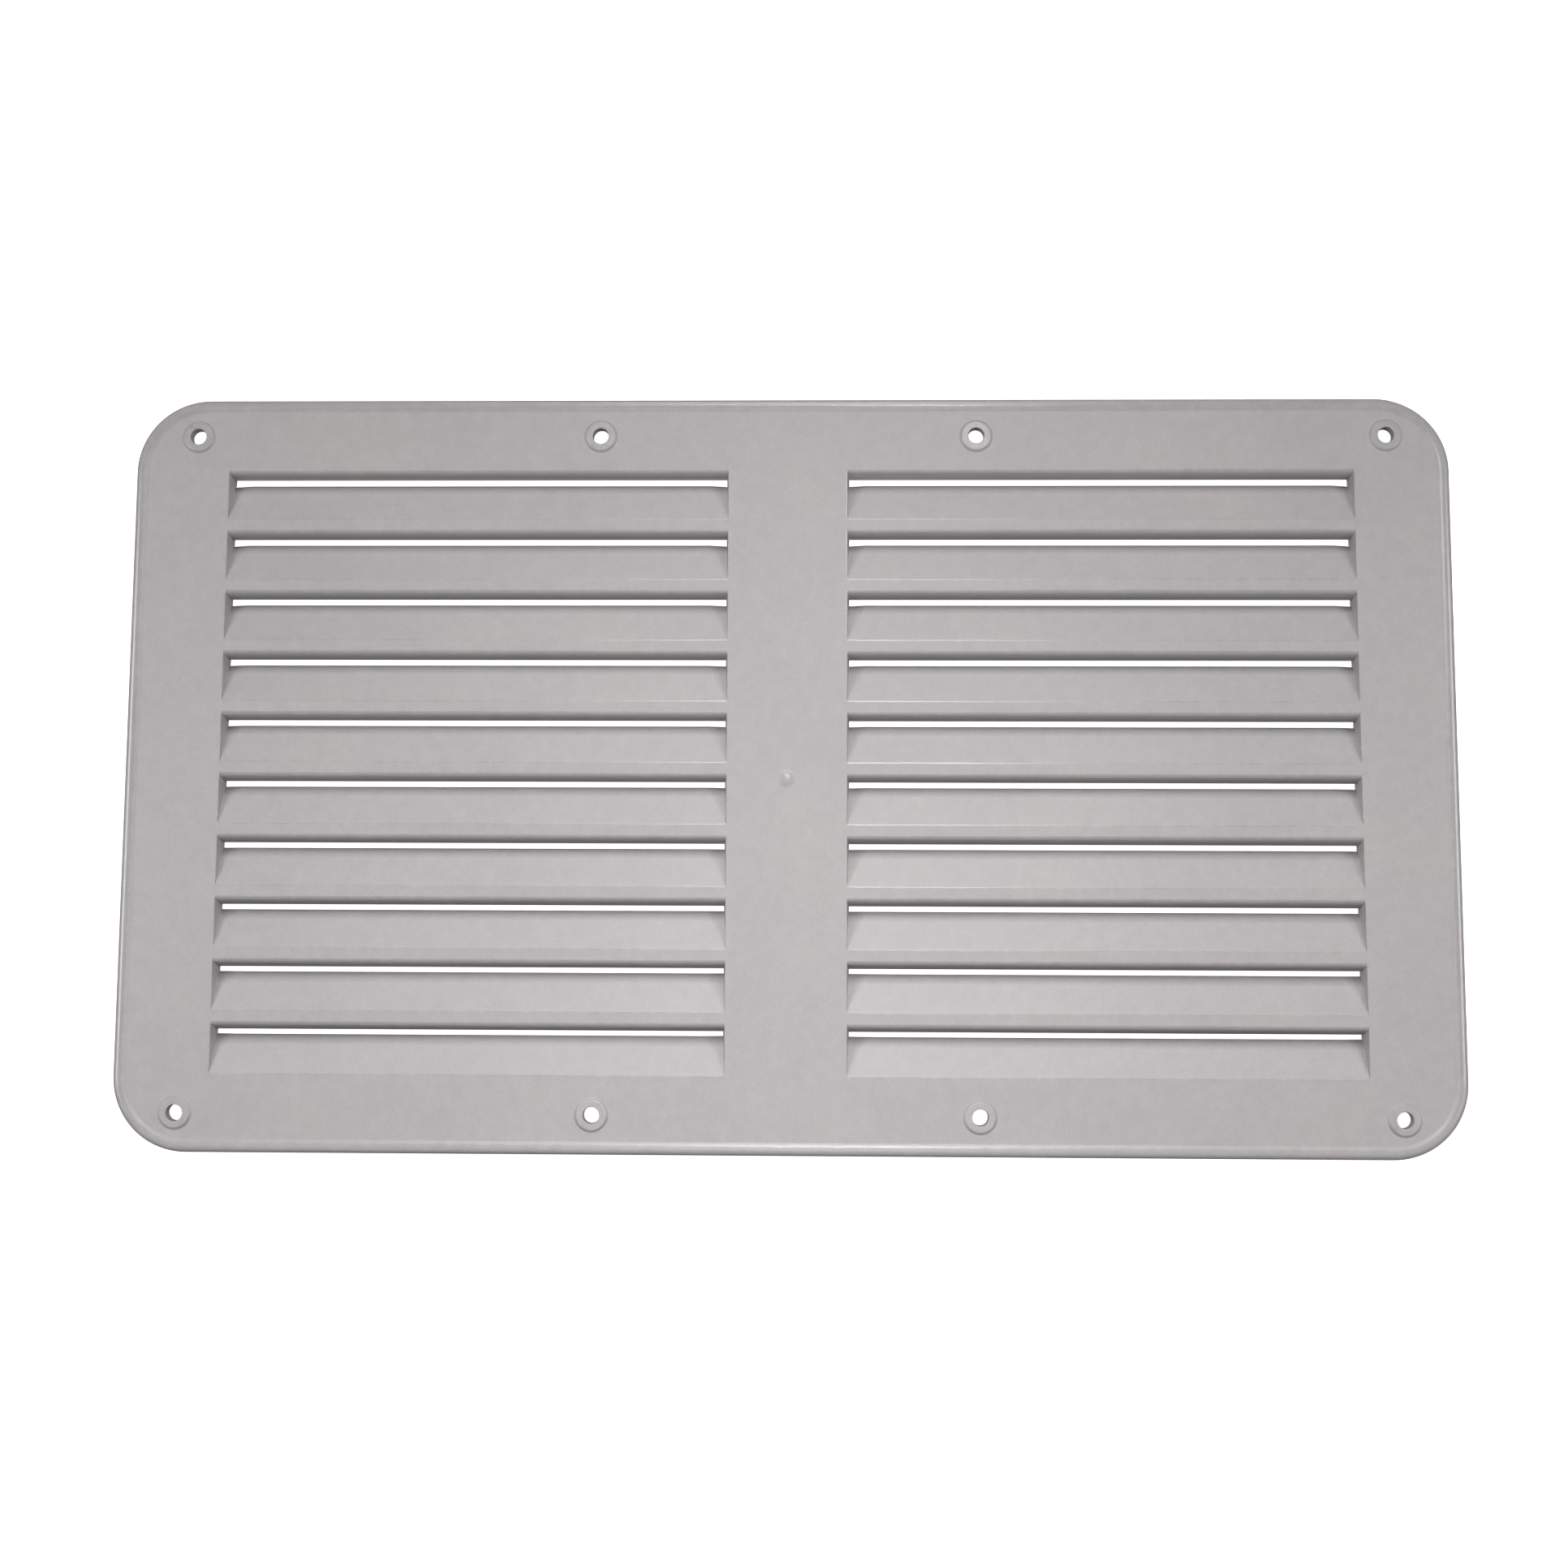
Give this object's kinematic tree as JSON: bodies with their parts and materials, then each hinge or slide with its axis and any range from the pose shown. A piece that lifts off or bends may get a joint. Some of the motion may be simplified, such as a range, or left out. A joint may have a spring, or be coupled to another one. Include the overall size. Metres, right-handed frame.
{
  "type": "louvred vent cover",
  "caption": "Flat rectangular cover with fixed rain-shedding louvres in two columns, a rounded edge bead and raised screw bosses, for closing a ventilation opening.",
  "frame": {"origin": "centre of the mounting plane, which is the back of the flat plate; the louvres and ribs hang behind it, into the opening", "axes": "+Z out of the weather face, +X along the long side, +Y towards the upper edge, so that rain runs down the blades towards -Y"},
  "size_m": [0.43, 0.245, 0.0079],
  "materials": {
    "grey_plastic": "light warm grey moulded plastic, satin with a fine grain"
  },
  "bodies": {
    "root": {"top_rail": "grey_plastic", "bottom_rail": "grey_plastic", "left_stile": "grey_plastic", "right_stile": "grey_plastic", "centre_mullion": "grey_plastic", "rim_top": "grey_plastic", "rim_bottom": "grey_plastic", "rim_left": "grey_plastic", "rim_right": "grey_plastic", "rim_corner_top_left": "grey_plastic", "rim_corner_top_right": "grey_plastic", "rim_corner_bottom_left": "grey_plastic", "rim_corner_bottom_right": "grey_plastic", "louvre_left_01": "grey_plastic", "louvre_left_02": "grey_plastic", "louvre_left_03": "grey_plastic", "louvre_left_04": "grey_plastic", "louvre_left_05": "grey_plastic", "louvre_left_06": "grey_plastic", "louvre_left_07": "grey_plastic", "louvre_left_08": "grey_plastic", "louvre_left_09": "grey_plastic", "louvre_left_10": "grey_plastic", "louvre_right_01": "grey_plastic", "louvre_right_02": "grey_plastic", "louvre_right_03": "grey_plastic", "louvre_right_04": "grey_plastic", "louvre_right_05": "grey_plastic", "louvre_right_06": "grey_plastic", "louvre_right_07": "grey_plastic", "louvre_right_08": "grey_plastic", "louvre_right_09": "grey_plastic", "louvre_right_10": "grey_plastic", "rib_left_outer": "grey_plastic", "rib_left_inner": "grey_plastic", "rib_right_inner": "grey_plastic", "rib_right_outer": "grey_plastic", "screw_boss_top_1": "grey_plastic", "screw_boss_top_2": "grey_plastic", "screw_boss_top_3": "grey_plastic", "screw_boss_top_4": "grey_plastic", "screw_boss_bottom_1": "grey_plastic", "screw_boss_bottom_2": "grey_plastic", "screw_boss_bottom_3": "grey_plastic", "screw_boss_bottom_4": "grey_plastic", "gate_nub": "grey_plastic"}
  },
  "joints": []
}
